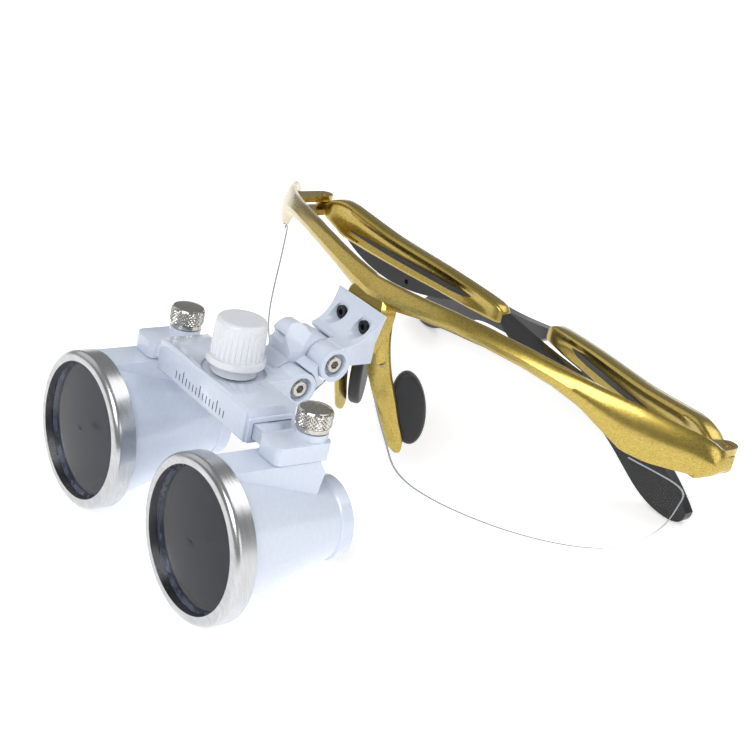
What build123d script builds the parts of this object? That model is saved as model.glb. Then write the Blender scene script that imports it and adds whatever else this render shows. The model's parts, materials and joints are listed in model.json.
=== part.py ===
from build123d import *
import math
import os

# Dental loupes on a wrap spectacle frame: a bracket on the bridge carries a two-pivot
# flip-up link, a crossbar with a rack-and-pinion for the pupil distance, and two
# telescopes that swivel under thumbscrews.
#
# Modelling frame: millimetres, wearer's eyes level. +X is the wearer's left, -Y is
# the way the wearer looks, +Z is up. The origin is on the nose, between the pads.
# The finished pieces are tilted and set down on a table just before they are written.

# ---------------------------------------------------------------- driving dimensions
# telescopes
ring_radius = 16.0
ring_length = 4.3
ring_lip = 1.6
ring_edge_radius = 1.2
aperture_radius = 13.9
spigot_wall = 0.85
barrel_length = 31.3
barrel_front_radius = 14.9
barrel_waist_radius = 8.0
barrel_flange_radius = 8.3
barrel_flange_length = 2.7
barrel_wall = 1.4
objective_edge = 2.2
objective_bulge = 1.05
eyepiece_radius = 6.5
eyepiece_edge = 1.6
eyepiece_hollow = 0.7
eyepiece_bore = 5.6
eyepiece_ring_length = 1.8
eyepiece_shoulder = 0.7
baffle_length = 15.0
baffle_grooves = 9
baffle_groove_depth = 0.6
baffle_wall = 0.5
pupil_half = 21.9
optic_axis_z = -17.3
aperture_y = -54.6

# clamps between the telescopes and the slide arms
clamp_offset = 1.2
clamp_y = -32.5
clamp_head_radius = 3.5
clamp_band_radius = 3.2
clamp_head_height = 4.5
clamp_band_height = 1.0
clamp_knurl_count = 24
clamp_knurl_radius = 0.22
clamp_shank_radius = 1.25
clamp_shank_reach = 4.4
clamp_boss_radius = 3.2
clamp_boss_height = 1.4
saddle_offset = 0.5
saddle_width = 7.6
saddle_top_z = -1.95
saddle_rear_y = -31.6
saddle_tail_y = -30.0
saddle_tail_z = -4.4
saddle_toe_z = -8.2

# slide arms and the pinion drive
arm_block_width = 7.0
arm_block_height = 3.55
arm_block_front_y = -41.8
arm_block_back_y = -29.6
arm_block_top_z = 1.8
arm_corner_radius = 1.6
rack_module = 0.4
pinion_teeth = 8
pressure_angle = 25.0
tooth_backlash = 0.14
rack_height = 2.8
rack_end_gap = 0.25
pupil_travel = 13.0

# crossbar
crossbar_length = 32.7
crossbar_depth = 11.1
crossbar_height = 6.8
crossbar_front_y = -42.4
crossbar_top_z = 4.7
crossbar_edge_radius = 0.7
crossbar_front_wall = 1.6
crossbar_back_wall = 0.9
crossbar_end_wall = 1.2
end_rim_width = 0.9
end_rim_depth = 0.5
cover_thickness = 0.8
post_radius = 1.05
post_setback = 5.35
cover_screw_radius = 0.5
cover_screw_head = 0.9
cover_screw_reach = 3.2
recess_radius = 6.4
recess_depth = 0.6

# pupil-distance knob
knob_y = -35.5
knob_top_z = 15.4
knob_top_radius = 5.0
knob_grip_radius = 5.25
knob_flange_radius = 5.8
knob_flange_height = 1.3
knob_flange_z = 6.6
knob_neck_radius = 4.5
knob_rib_count = 30
knob_groove_radius = 0.27
shaft_radius = 1.2
shaft_top_z = 13.0
shaft_flat = 0.35
shaft_pin_radius = 0.7

# flip-up link and its pivots
pivot_radius = 3.5
lower_pivot_y = -23.5
lower_pivot_z = 2.1
upper_pivot_y = -16.2
upper_pivot_z = 6.6
knuckle_half_width = 6.4
lap_x = 1.15
web_half_height = 2.2
web_inset = 0.5
pivot_screw_radius = 1.25
pivot_head_radius = 1.75
pivot_counterbore_radius = 2.5
pivot_head_height = 1.3
pivot_socket_flats = 1.6
pivot_screw_tip_x = -5.2
tab_front_y = -23.7
tab_back_y = -16.7
tab_centre_z = 8.3
tab_base_z = 3.0
tab_slope_x = -3.5
tab_slope_z = 7.6
tab_groove_x = -2.0
hinge_block_back_y = -27.3
hinge_block_bottom_z = -1.4

# bracket
bracket_back_y = -7.4
bracket_bottom_z = 6.3
bracket_top_z = 17.2
bracket_top_half = 8.1
bracket_screw_x = 3.8
bracket_screw_z = 13.2
bracket_screw_radius = 1.0
bracket_screw_head = 1.4
bracket_counterbore = 2.0
bracket_counterbore_y = -8.6
bracket_head_height = 0.7
bracket_screw_reach = 3.0

# spectacle front
wrap_radius = 100.0
front_y = -6.8
front_depth = 3.8
front_half_width = 71.4
bar_end_round = 1.9
bridge_plate_half = 7.0
bridge_plate_bottom_z = 6.5
bridge_plate_back_y = -3.2
arm_x = 9.6
arm_width = 2.2
arm_thickness = 1.3
lens_thickness = 1.8
lens_setback = 0.8
lens_inner_x = 8.2
pad_length = 16.0
pad_width = 7.4
pad_thickness = 2.6
pad_x = 9.6
pad_y = 2.3
pad_z = -3.6
pad_splay = 38.0
pad_lean = 14.0
pad_stem_radius = 0.8

# temples
hinge_inset = 4.9
hinge_setback = 6.614
hinge_knuckle_radius = 2.0
hinge_lug_length = 9.0
hinge_low_z = 9.4
hinge_mid_z = 11.0
hinge_high_z = 12.9
hinge_top_z = 14.5
hinge_pin_radius = 0.75
hinge_pin_head = 1.2
hinge_pin_head_height = 0.6
shell_start = 3.2
shell_end = 63.0
shell_half = 2.1
slot_start = 10.9
slot_top_z = 9.7
recess_depth_leaf = 0.4
core_half = 1.25
heel_reach = 115.5
heel_z = -13.1
right_fold = 6.5
left_fold = 12.0

# fits
running_gap = 0.05
thread_gap = 0.05
sliding_gap = 0.2
seat_gap = 0.1
swing_gap = 0.35

# ---------------------------------------------------------------- derived places
ring_back_y = aperture_y + ring_length
eyepiece_y = aperture_y + barrel_length
spigot_radius = ring_radius - 0.7 - thread_gap
lens_seat_radius = spigot_radius - spigot_wall
seat_front_y = aperture_y + ring_lip
seat_back_y = seat_front_y + objective_edge + seat_gap
waist_y = eyepiece_y - barrel_flange_length
eyepiece_seat_y = eyepiece_y - eyepiece_edge - eyepiece_ring_length - 3 * seat_gap
clamp_x = pupil_half + clamp_offset
arm_outer_x = clamp_x + arm_block_width / 2
arm_inner_x = clamp_x - arm_block_width / 2
arm_block_bottom_z = arm_block_top_z - arm_block_height
clamp_seat_z = arm_block_top_z + clamp_boss_height
clamp_head_z = clamp_seat_z + sliding_gap
crossbar_half = crossbar_length / 2
crossbar_back_y = crossbar_front_y + crossbar_depth
crossbar_mid_y = crossbar_front_y + crossbar_depth / 2
crossbar_bottom_z = crossbar_top_z - crossbar_height
cavity_front_y = crossbar_front_y + crossbar_front_wall
cavity_back_y = crossbar_back_y - crossbar_back_wall
cavity_half = crossbar_half - crossbar_end_wall
rack_end_x = cavity_half - rack_end_gap
post_x = crossbar_half - post_setback
neck_front_y = cavity_front_y + sliding_gap
neck_back_y = cavity_back_y - sliding_gap
cover_top_z = crossbar_bottom_z + cover_thickness
rack_bottom_z = cover_top_z + sliding_gap
rack_top_z = rack_bottom_z + rack_height
cavity_top_z = rack_top_z + sliding_gap
pitch_radius = rack_module * pinion_teeth / 2
tooth_pitch = math.pi * rack_module
addendum = 0.7 * rack_module
dedendum = 0.85 * rack_module
knob_bottom_z = crossbar_top_z - recess_depth + swing_gap
knob_grip_z = knob_flange_z + knob_flange_height
link_near_x = lap_x - swing_gap / 2
ear_inner_x = lap_x + swing_gap / 2
pivot_head_x = knuckle_half_width - pivot_head_height - swing_gap
tab_mid_y = (tab_front_y + tab_back_y) / 2
tab_radius = (tab_back_y - tab_front_y) / 2
wrap_centre_y = front_y + wrap_radius
hinge_x = front_half_width - hinge_inset
hinge_y = wrap_centre_y - math.sqrt((wrap_radius - front_depth) ** 2 - hinge_x**2) + hinge_setback
bar_end_x = front_half_width - bar_end_round
finished = []


def finish(builder, name):
    """Keep a finished piece, named, until the resting place is known."""
    finished.append((name, builder.part))


def side_of(sign):
    """Name of the wearer's side: +1 is left, -1 is right."""
    return "left" if sign > 0 else "right"


def wrap_band(front_radius, depth, low_z):
    """Plan band of the wrapped front, between two vertical cylinders."""
    with BuildSketch(Plane.XY.offset(low_z)) as band:
        with Locations((0, wrap_centre_y)):
            Circle(front_radius)
            Circle(front_radius - depth, mode=Mode.SUBTRACT)
    return band.sketch


def disc(plane, centre, radius):
    """Round sketch on a plane."""
    with BuildSketch(plane) as sketch:
        with Locations(centre):
            Circle(radius)
    return sketch.sketch


def outline(plane, points):
    """Straight-sided sketch on a plane."""
    with BuildSketch(plane) as sketch:
        with BuildLine():
            Polyline(*points, close=True)
        make_face()
    return sketch.sketch


def stadium(plane, start, end, radius):
    """Round-ended sketch around two centres."""
    with BuildSketch(plane) as sketch:
        with Locations(start, end):
            Circle(radius)
        make_hull()
    return sketch.sketch


# ---------------------------------------------------------------- spectacle front
def brow_outline():
    """Front view of the left half of the brow bar."""
    with BuildSketch(Plane.XZ) as half:
        with BuildLine():
            Spline((0, 22.3), (28, 23.7), (48, 21.6), (bar_end_x, 17.0))
            RadiusArc((bar_end_x, 17.0), (front_half_width, 13.2), 4.4)
            Line((front_half_width, 13.2), (bar_end_x + 0.5, 9.8))
            Line((bar_end_x + 0.5, 9.8), (57, 9.6))
            Line((57, 9.6), (52.5, 14.0))
            Spline((52.5, 14.0), (44, 18.3), (30, 20.3), (14, 19.4), (0, 16.6))
            Line((0, 16.6), (0, 22.3))
        make_face()
    return half.sketch


def lens_outline(grow):
    """Front view of the left lens; a clearance grows the edges that lie in the brow bar."""
    inner_x = lens_inner_x - grow
    with BuildSketch(Plane.XZ) as lens:
        with BuildLine():
            Line((inner_x, 18.4 + grow), (inner_x, 5.8))
            Line((inner_x, 5.8), (3.5, 4.6))
            Spline((3.5, 4.6), (7.0, -1.6), (12.1, -8.2), (17.0, -13.2))
            Spline((17.0, -13.2), (26.7, -14.6), (45, -13.3), (58.2, -10), (66, -0.6), (66.6, 6.4))
            Spline((66.6, 6.4), (62.1, 8.0), (58.0 + grow, 9.4))
            Line((58.0 + grow, 9.4), (53.2 + grow, 15.0 + grow))
            Spline(
                (53.2 + grow, 15.0 + grow),
                (44.2, 19.4 + grow),
                (30, 21.3 + grow),
                (14, 20.4 + grow),
                (inner_x, 18.4 + grow),
            )
        make_face()
    return lens.sketch


def lens_body(grow):
    """Left lens, or with a clearance the groove that holds it."""
    with BuildPart() as body:
        extrude(lens_outline(grow), amount=60, both=True)
        extrude(
            wrap_band(wrap_radius - lens_setback + grow, lens_thickness + 2 * grow, -30),
            amount=70,
            mode=Mode.INTERSECT,
        )
    return body.part


with BuildPart() as brow_frame:
    extrude(brow_outline(), amount=60, both=True)
    extrude(wrap_band(wrap_radius, front_depth, 0), amount=40, mode=Mode.INTERSECT)
    # hinge lugs behind the end pieces
    with Locations((hinge_x, hinge_y - hinge_lug_length / 2, (hinge_low_z + hinge_top_z) / 2)):
        Box(2 * hinge_knuckle_radius, hinge_lug_length, hinge_top_z - hinge_low_z)
    with Locations((hinge_x, hinge_y, (hinge_low_z + hinge_top_z) / 2)):
        Cylinder(hinge_knuckle_radius, hinge_top_z - hinge_low_z)
    # bridge plate behind the bracket
    with BuildSketch(Plane.XY.offset(bridge_plate_bottom_z)):
        with Locations((bridge_plate_half / 2, (bracket_back_y + bridge_plate_back_y) / 2)):
            Rectangle(bridge_plate_half, bridge_plate_back_y - bracket_back_y)
    extrude(amount=bracket_top_z - bridge_plate_bottom_z)
    # arm that carries the nose pad
    with BuildSketch(Plane.YZ.offset(arm_x)):
        with BuildLine():
            Spline((-3.2, 21.0), (-2.9, 10.0), (-2.1, 0.0), (-0.4, -12.2))
            Line((-0.4, -12.2), (-0.4 + arm_thickness, -12.4))
            Spline((-0.4 + arm_thickness, -12.4), (-2.1 + arm_thickness, 0.0),
                   (-2.9 + arm_thickness, 10.0), (-3.2 + arm_thickness, 21.0))
            Line((-3.2 + arm_thickness, 21.0), (-3.2, 21.0))
        make_face()
    extrude(amount=arm_width)
    # space for the middle knuckle of the temple
    with Locations((hinge_x, hinge_y, (hinge_mid_z + hinge_high_z) / 2)):
        Cylinder(hinge_knuckle_radius + 2 * swing_gap, hinge_high_z - hinge_mid_z, mode=Mode.SUBTRACT)
    with Locations((hinge_x, hinge_y, (hinge_low_z + hinge_top_z) / 2)):
        Cylinder(hinge_pin_radius + thread_gap, hinge_top_z - hinge_low_z, mode=Mode.SUBTRACT)
    with Locations((hinge_x, hinge_y, hinge_top_z)):
        Cylinder(hinge_pin_head + seat_gap, 2 * hinge_pin_head_height, mode=Mode.SUBTRACT)
    # groove for the lens
    add(lens_body(seat_gap), mode=Mode.SUBTRACT)
    mirror(about=Plane.YZ)
    # threaded holes for the bracket screws
    with Locations((-bracket_screw_x, bracket_back_y, bracket_screw_z),
                   (bracket_screw_x, bracket_back_y, bracket_screw_z)):
        Cylinder(bracket_screw_radius + thread_gap, 2 * bracket_screw_reach + 1.0,
                 rotation=(90, 0, 0), mode=Mode.SUBTRACT)
finish(brow_frame, "brow_frame")


def make_lens(sign):
    """Clear wrap lens of one side."""
    with BuildPart() as lens:
        add(lens_body(0))
        if sign < 0:
            mirror(about=Plane.YZ, mode=Mode.REPLACE)
    finish(lens, side_of(sign) + "_lens")


def make_nose_pad(sign):
    """Soft oval pad that leans back and in against the nose."""
    splay = math.radians(pad_splay)
    lean = math.radians(pad_lean)
    facing = (-sign * math.cos(splay), math.sin(splay), 0)
    upward = (sign * math.sin(lean) * math.sin(splay), math.sin(lean) * math.cos(splay), -math.cos(lean))
    pad_plane = Plane(origin=(sign * pad_x, pad_y, pad_z), x_dir=upward, z_dir=facing)
    with BuildPart() as pad:
        with BuildSketch(pad_plane):
            Ellipse(pad_length / 2, pad_width / 2)
        extrude(amount=pad_thickness)
        fillet(pad.edges().filter_by(GeomType.ELLIPSE), radius=pad_thickness * 0.35)
    finish(pad, side_of(sign) + "_nose_pad")


for side in (1, -1):
    make_lens(side)
    make_nose_pad(side)

# ---------------------------------------------------------------- bracket
with BuildPart() as bracket:
    with BuildSketch(Plane.YZ):
        with BuildLine():
            Line((bracket_back_y, bracket_bottom_z), (bracket_back_y, bracket_top_z))
            Spline((bracket_back_y, bracket_top_z), (-8.65, 14.7), (-9.75, 13.2), (-13.0, 10.8), (-15.5, 10.3))
            Line((-15.5, 10.3), (upper_pivot_y, upper_pivot_z))
            Line((upper_pivot_y, upper_pivot_z), (-12.8, bracket_bottom_z))
            Line((-12.8, bracket_bottom_z), (bracket_back_y, bracket_bottom_z))
        make_face()
        with Locations((upper_pivot_y, upper_pivot_z)):
            Circle(pivot_radius)
    extrude(amount=bracket_top_half, both=True)
    # concave cheeks, wide at the top and narrow at the knuckle
    with BuildSketch(Plane.XZ):
        with BuildLine():
            Line((-bracket_top_half, bracket_top_z), (bracket_top_half, bracket_top_z))
            Spline((bracket_top_half, bracket_top_z), (7.1, 13.2), (knuckle_half_width, 10.5))
            Line((knuckle_half_width, 10.5), (knuckle_half_width, 2.0))
            Line((knuckle_half_width, 2.0), (-knuckle_half_width, 2.0))
            Line((-knuckle_half_width, 2.0), (-knuckle_half_width, 10.5))
            Spline((-knuckle_half_width, 10.5), (-7.1, 13.2), (-bracket_top_half, bracket_top_z))
        make_face()
    extrude(amount=30, both=True, mode=Mode.INTERSECT)
    # half of the knuckle is cut away for the link
    with BuildSketch(Plane.YZ.offset(-bracket_top_half - 1)):
        with Locations((upper_pivot_y, upper_pivot_z)):
            Circle(pivot_radius + swing_gap)
        with Locations((-17.5, 9.0)):
            Rectangle(7.0, 14.0)
    extrude(amount=bracket_top_half + 1 + ear_inner_x, mode=Mode.SUBTRACT)
    # bores: the pivot, its screw head and the two mounting screws
    with Locations((knuckle_half_width / 2, upper_pivot_y, upper_pivot_z)):
        Cylinder(pivot_screw_radius + running_gap, knuckle_half_width + 4, rotation=(0, 90, 0),
                 mode=Mode.SUBTRACT)
    with Locations((pivot_head_x - seat_gap + 2, upper_pivot_y, upper_pivot_z)):
        Cylinder(pivot_counterbore_radius, 4, rotation=(0, 90, 0), mode=Mode.SUBTRACT)
    for screw_side in (-1, 1):
        with Locations((screw_side * bracket_screw_x, bracket_counterbore_y - 3, bracket_screw_z)):
            Cylinder(bracket_counterbore, 6, rotation=(90, 0, 0), mode=Mode.SUBTRACT)
        with Locations((screw_side * bracket_screw_x, bracket_back_y, bracket_screw_z)):
            Cylinder(bracket_screw_radius + thread_gap, 6, rotation=(90, 0, 0), mode=Mode.SUBTRACT)
finish(bracket, "mount_bracket")

with BuildPart() as bracket_screws:
    for screw_side in (-1, 1):
        head_plane = Plane(
            origin=(screw_side * bracket_screw_x, bracket_counterbore_y, bracket_screw_z),
            x_dir=(1, 0, 0),
            z_dir=(0, -1, 0),
        )
        extrude(disc(head_plane, (0, 0), bracket_screw_head), amount=bracket_head_height)
        shank_length = bracket_back_y - bracket_counterbore_y + bracket_screw_reach
        extrude(disc(head_plane, (0, 0), bracket_screw_radius), amount=-shank_length)
        with BuildSketch(head_plane.offset(bracket_head_height)):
            RegularPolygon(0.7, 6)
        extrude(amount=-0.5, mode=Mode.SUBTRACT)
finish(bracket_screws, "bracket_screws")

# ---------------------------------------------------------------- flip-up link
lower_pivot = (lower_pivot_y, lower_pivot_z)
upper_pivot = (upper_pivot_y, upper_pivot_z)
pivot_span_y = upper_pivot_y - lower_pivot_y
pivot_span_z = upper_pivot_z - lower_pivot_z
pivot_span = math.hypot(pivot_span_y, pivot_span_z)
pivot_slope = math.degrees(math.atan2(pivot_span_z, pivot_span_y))


def web_outline():
    """Side view of the web that fills the space between the two ears."""
    with BuildSketch(Plane.YZ.offset(link_near_x - 0.2)) as web:
        with Locations(((lower_pivot_y + upper_pivot_y) / 2, (lower_pivot_z + upper_pivot_z) / 2)):
            Rectangle(pivot_span, 2 * web_half_height, rotation=pivot_slope)
        with Locations(lower_pivot, upper_pivot):
            Circle(pivot_radius + swing_gap, mode=Mode.SUBTRACT)
    return web.sketch


with BuildPart() as flip_link:
    # thumb tab, sloped towards the near side and grooved for the fingertip
    with BuildSketch(Plane.YZ.offset(-knuckle_half_width)):
        with Locations((tab_mid_y, (tab_base_z + tab_centre_z) / 2)):
            Rectangle(2 * tab_radius, tab_centre_z - tab_base_z)
        with Locations((tab_mid_y, tab_centre_z)):
            Circle(tab_radius)
    extrude(amount=knuckle_half_width + link_near_x)
    tab_top_z = tab_centre_z + tab_radius
    slope = outline(
        Plane.XZ.offset(-tab_back_y - 1),
        [(link_near_x + 0.1, tab_slope_z), (tab_slope_x, tab_top_z), (link_near_x + 0.1, tab_top_z + 1)],
    )
    extrude(slope, amount=2 * tab_radius + 4, mode=Mode.SUBTRACT)
    with Locations(((tab_groove_x - knuckle_half_width) / 2 - 0.5, tab_front_y - 0.15, tab_centre_z + 0.8)):
        Cylinder(1.0, knuckle_half_width + tab_groove_x + 1.0, rotation=(0, 90, 0), mode=Mode.SUBTRACT)
    # plate that spans both pivots
    extrude(stadium(Plane.YZ.offset(-knuckle_half_width), lower_pivot, upper_pivot, pivot_radius),
            amount=knuckle_half_width + link_near_x)
    # web between the two ears
    extrude(web_outline(), amount=knuckle_half_width - web_inset - link_near_x + 0.2)
    for pivot in (lower_pivot, upper_pivot):
        with Locations((0, pivot[0], pivot[1])):
            Cylinder(pivot_screw_radius + thread_gap, 2 * (knuckle_half_width - 0.8), rotation=(0, 90, 0),
                     mode=Mode.SUBTRACT)
finish(flip_link, "flip_link")


def make_pivot_screw(pivot, name):
    """Socket-head shoulder screw along X, threaded into the link."""
    head_plane = Plane.YZ.offset(pivot_head_x)
    with BuildPart() as screw:
        extrude(disc(head_plane, pivot, pivot_head_radius), amount=pivot_head_height)
        chamfer(screw.faces().sort_by(Axis.X)[-1].edges(), length=0.25)
        extrude(disc(head_plane, pivot, pivot_screw_radius), amount=pivot_screw_tip_x - pivot_head_x)
        with BuildSketch(Plane.YZ.offset(pivot_head_x + pivot_head_height)):
            with Locations(pivot):
                RegularPolygon(pivot_socket_flats / 2, 6, major_radius=False)
        extrude(amount=-0.9, mode=Mode.SUBTRACT)
    finish(screw, name)


make_pivot_screw(lower_pivot, "lower_pivot_screw")
make_pivot_screw(upper_pivot, "upper_pivot_screw")

# ---------------------------------------------------------------- crossbar
with BuildPart() as crossbar_housing:
    with Locations((0, crossbar_mid_y, (crossbar_top_z + crossbar_bottom_z) / 2)):
        Box(crossbar_length, crossbar_depth, crossbar_height)
    fillet(crossbar_housing.edges().filter_by(Axis.X), radius=crossbar_edge_radius)
    # end faces stand back behind a raised rim round each slot
    for end_side in (-1, 1):
        with BuildSketch(Plane.YZ.offset(end_side * crossbar_half)):
            with Locations((crossbar_mid_y, (crossbar_top_z + crossbar_bottom_z) / 2)):
                Rectangle(crossbar_depth + 1, crossbar_height + 1)
            with Locations(((neck_front_y + neck_back_y) / 2, (rack_bottom_z + rack_top_z) / 2)):
                RectangleRounded(
                    neck_back_y - neck_front_y + 2 * (sliding_gap + end_rim_width),
                    rack_height + 2 * (sliding_gap + end_rim_width),
                    0.6,
                    mode=Mode.SUBTRACT,
                )
        extrude(amount=-end_side * end_rim_depth, mode=Mode.SUBTRACT)
    # hinge block and the near ear
    with BuildSketch(Plane.YZ.offset(-knuckle_half_width)):
        with Locations(((crossbar_back_y + hinge_block_back_y) / 2 - 0.5,
                        (hinge_block_bottom_z + crossbar_top_z) / 2)):
            Rectangle(hinge_block_back_y - crossbar_back_y + 1.0, crossbar_top_z - hinge_block_bottom_z)
    extrude(amount=2 * knuckle_half_width)
    with BuildSketch(Plane.YZ.offset(ear_inner_x)):
        with Locations(((hinge_block_back_y + lower_pivot_y) / 2 - 0.5,
                        (hinge_block_bottom_z + crossbar_top_z) / 2)):
            Rectangle(lower_pivot_y - hinge_block_back_y + 1.0, crossbar_top_z - hinge_block_bottom_z)
        with Locations(lower_pivot):
            Circle(pivot_radius)
    extrude(amount=knuckle_half_width - ear_inner_x)
    with BuildSketch(Plane.YZ.offset(-knuckle_half_width - 1)):
        with Locations(lower_pivot):
            Circle(pivot_radius + swing_gap)
    extrude(amount=knuckle_half_width + 1 + ear_inner_x, mode=Mode.SUBTRACT)
    with Locations((knuckle_half_width / 2, lower_pivot_y, lower_pivot_z)):
        Cylinder(pivot_screw_radius + running_gap, knuckle_half_width + 4, rotation=(0, 90, 0),
                 mode=Mode.SUBTRACT)
    with Locations((pivot_head_x - seat_gap + 2, lower_pivot_y, lower_pivot_z)):
        Cylinder(pivot_counterbore_radius, 4, rotation=(0, 90, 0), mode=Mode.SUBTRACT)
    # cavity for the racks, open below
    with BuildSketch(Plane.XY.offset(crossbar_bottom_z)):
        with Locations((0, (cavity_front_y + cavity_back_y) / 2)):
            Rectangle(2 * cavity_half, cavity_back_y - cavity_front_y)
        with Locations((-post_x, knob_y), (post_x, knob_y)):
            Circle(post_radius, mode=Mode.SUBTRACT)
    extrude(amount=cavity_top_z - crossbar_bottom_z, mode=Mode.SUBTRACT)
    for post_side in (-1, 1):
        with Locations((post_side * post_x, knob_y, crossbar_bottom_z + cover_thickness / 2)):
            Cylinder(post_radius + 0.05, cover_thickness, mode=Mode.SUBTRACT)
        with Locations((post_side * post_x, knob_y, cover_top_z + cover_screw_reach / 2 - 0.2)):
            Cylinder(cover_screw_radius + thread_gap, cover_screw_reach, mode=Mode.SUBTRACT)
    # slots for the arms in both ends
    for end_side in (-1, 1):
        with Locations((end_side * crossbar_half, (neck_front_y + neck_back_y) / 2,
                        (rack_bottom_z + rack_top_z) / 2)):
            Box(4 * crossbar_end_wall, neck_back_y - neck_front_y + 2 * sliding_gap,
                rack_height + 2 * sliding_gap, mode=Mode.SUBTRACT)
    # recess under the knob and the bore for its shaft
    with Locations((0, knob_y, crossbar_top_z)):
        Cylinder(recess_radius, 2 * recess_depth, mode=Mode.SUBTRACT)
    with Locations((0, knob_y, crossbar_top_z)):
        Cylinder(shaft_radius + running_gap, 8, mode=Mode.SUBTRACT)
finish(crossbar_housing, "crossbar_housing")

with BuildPart() as crossbar_cover:
    with BuildSketch(Plane.XY.offset(crossbar_bottom_z)):
        with Locations((0, (cavity_front_y + cavity_back_y) / 2)):
            Rectangle(2 * (cavity_half - seat_gap), cavity_back_y - cavity_front_y - 2 * seat_gap)
    extrude(amount=cover_thickness)
    for post_side in (-1, 1):
        with Locations((post_side * post_x, knob_y, crossbar_bottom_z)):
            Cylinder(cover_screw_radius + thread_gap, 4, mode=Mode.SUBTRACT)
            Cylinder(cover_screw_head + seat_gap, cover_thickness, mode=Mode.SUBTRACT)
    with Locations((0, knob_y, crossbar_bottom_z)):
        Cylinder(shaft_pin_radius + running_gap, 4, mode=Mode.SUBTRACT)
finish(crossbar_cover, "crossbar_cover")

with BuildPart() as cover_screws:
    for post_side in (-1, 1):
        seat = Plane.XY.offset(crossbar_bottom_z)
        centre = (post_side * post_x, knob_y)
        extrude(disc(seat, centre, cover_screw_head), amount=cover_thickness / 2)
        extrude(disc(seat, centre, cover_screw_radius), amount=cover_thickness + cover_screw_reach - 0.6)
        with Locations((post_side * post_x, knob_y, crossbar_bottom_z)):
            Box(2 * cover_screw_head + 1, 0.3, 0.3, mode=Mode.SUBTRACT)
finish(cover_screws, "cover_screws")

# ---------------------------------------------------------------- knob and pinion
with BuildPart() as pd_knob:
    extrude(disc(Plane.XY.offset(knob_bottom_z), (0, knob_y), knob_neck_radius),
            amount=knob_flange_z - knob_bottom_z)
    extrude(disc(Plane.XY.offset(knob_flange_z), (0, knob_y), knob_flange_radius),
            amount=knob_flange_height)
    with BuildSketch(Plane.XZ.offset(-knob_y)):
        with BuildLine():
            Polyline((0, knob_grip_z), (knob_grip_radius, knob_grip_z), (knob_top_radius, knob_top_z - 0.9))
            RadiusArc((knob_top_radius, knob_top_z - 0.9), (knob_top_radius - 0.9, knob_top_z), -0.9)
            Polyline((knob_top_radius - 0.9, knob_top_z), (0, knob_top_z), (0, knob_grip_z))
        make_face()
    revolve(axis=Axis((0, knob_y, 0), (0, 0, 1)))
    with BuildSketch(Plane.XY.offset(knob_grip_z + 0.4)):
        with Locations((0, knob_y)):
            with PolarLocations(knob_grip_radius, knob_rib_count):
                Circle(knob_groove_radius)
    extrude(amount=knob_top_z - knob_grip_z, mode=Mode.SUBTRACT)
    # bore with a flat that drives the shaft
    with BuildSketch(Plane.XY.offset(knob_bottom_z)):
        with Locations((0, knob_y)):
            Circle(shaft_radius + thread_gap)
        with Locations((0, knob_y - shaft_radius)):
            Rectangle(2 * shaft_radius + 1, 2 * shaft_flat - 2 * thread_gap, mode=Mode.SUBTRACT)
    extrude(amount=shaft_top_z + seat_gap - knob_bottom_z, mode=Mode.SUBTRACT)
finish(pd_knob, "pd_knob")


def tooth_half_angle(radius):
    """Half the angle of an involute pinion tooth at a radius."""
    base = pitch_radius * math.cos(math.radians(pressure_angle))
    at_pitch = math.radians(pressure_angle)
    at_radius = math.acos(min(1.0, base / radius))
    half_at_pitch = (tooth_pitch - tooth_backlash) / (4 * pitch_radius)
    return half_at_pitch + (math.tan(at_pitch) - at_pitch) - (math.tan(at_radius) - at_radius)


with BuildPart() as pinion_shaft:
    root = pitch_radius - dedendum
    flank_steps = [root, pitch_radius - 0.4 * dedendum, pitch_radius, pitch_radius + 0.5 * addendum,
                   pitch_radius + addendum]
    with BuildSketch(Plane.XY.offset(rack_bottom_z)):
        with Locations((0, knob_y)):
            Circle(root)
        for tooth in range(pinion_teeth):
            middle = -math.pi / 2 + tooth * 2 * math.pi / pinion_teeth
            left_flank = []
            right_flank = []
            for step in flank_steps:
                half = tooth_half_angle(step)
                left_flank.append((step * math.cos(middle + half), knob_y + step * math.sin(middle + half)))
                right_flank.append((step * math.cos(middle - half), knob_y + step * math.sin(middle - half)))
            with BuildLine():
                Polyline((0, knob_y), *left_flank, *reversed(right_flank), (0, knob_y))
            make_face()
    extrude(amount=rack_height)
    extrude(disc(Plane.XY.offset(crossbar_bottom_z + 0.1), (0, knob_y), shaft_pin_radius),
            amount=rack_bottom_z - crossbar_bottom_z)
    extrude(disc(Plane.XY.offset(rack_top_z - 0.1), (0, knob_y), shaft_radius),
            amount=knob_bottom_z - rack_top_z + 0.1)
    with BuildSketch(Plane.XY.offset(knob_bottom_z)):
        with Locations((0, knob_y)):
            Circle(shaft_radius)
        with Locations((0, knob_y - shaft_radius)):
            Rectangle(2 * shaft_radius + 1, 2 * shaft_flat, mode=Mode.SUBTRACT)
    extrude(amount=shaft_top_z - knob_bottom_z)
finish(pinion_shaft, "pinion_shaft")


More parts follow.
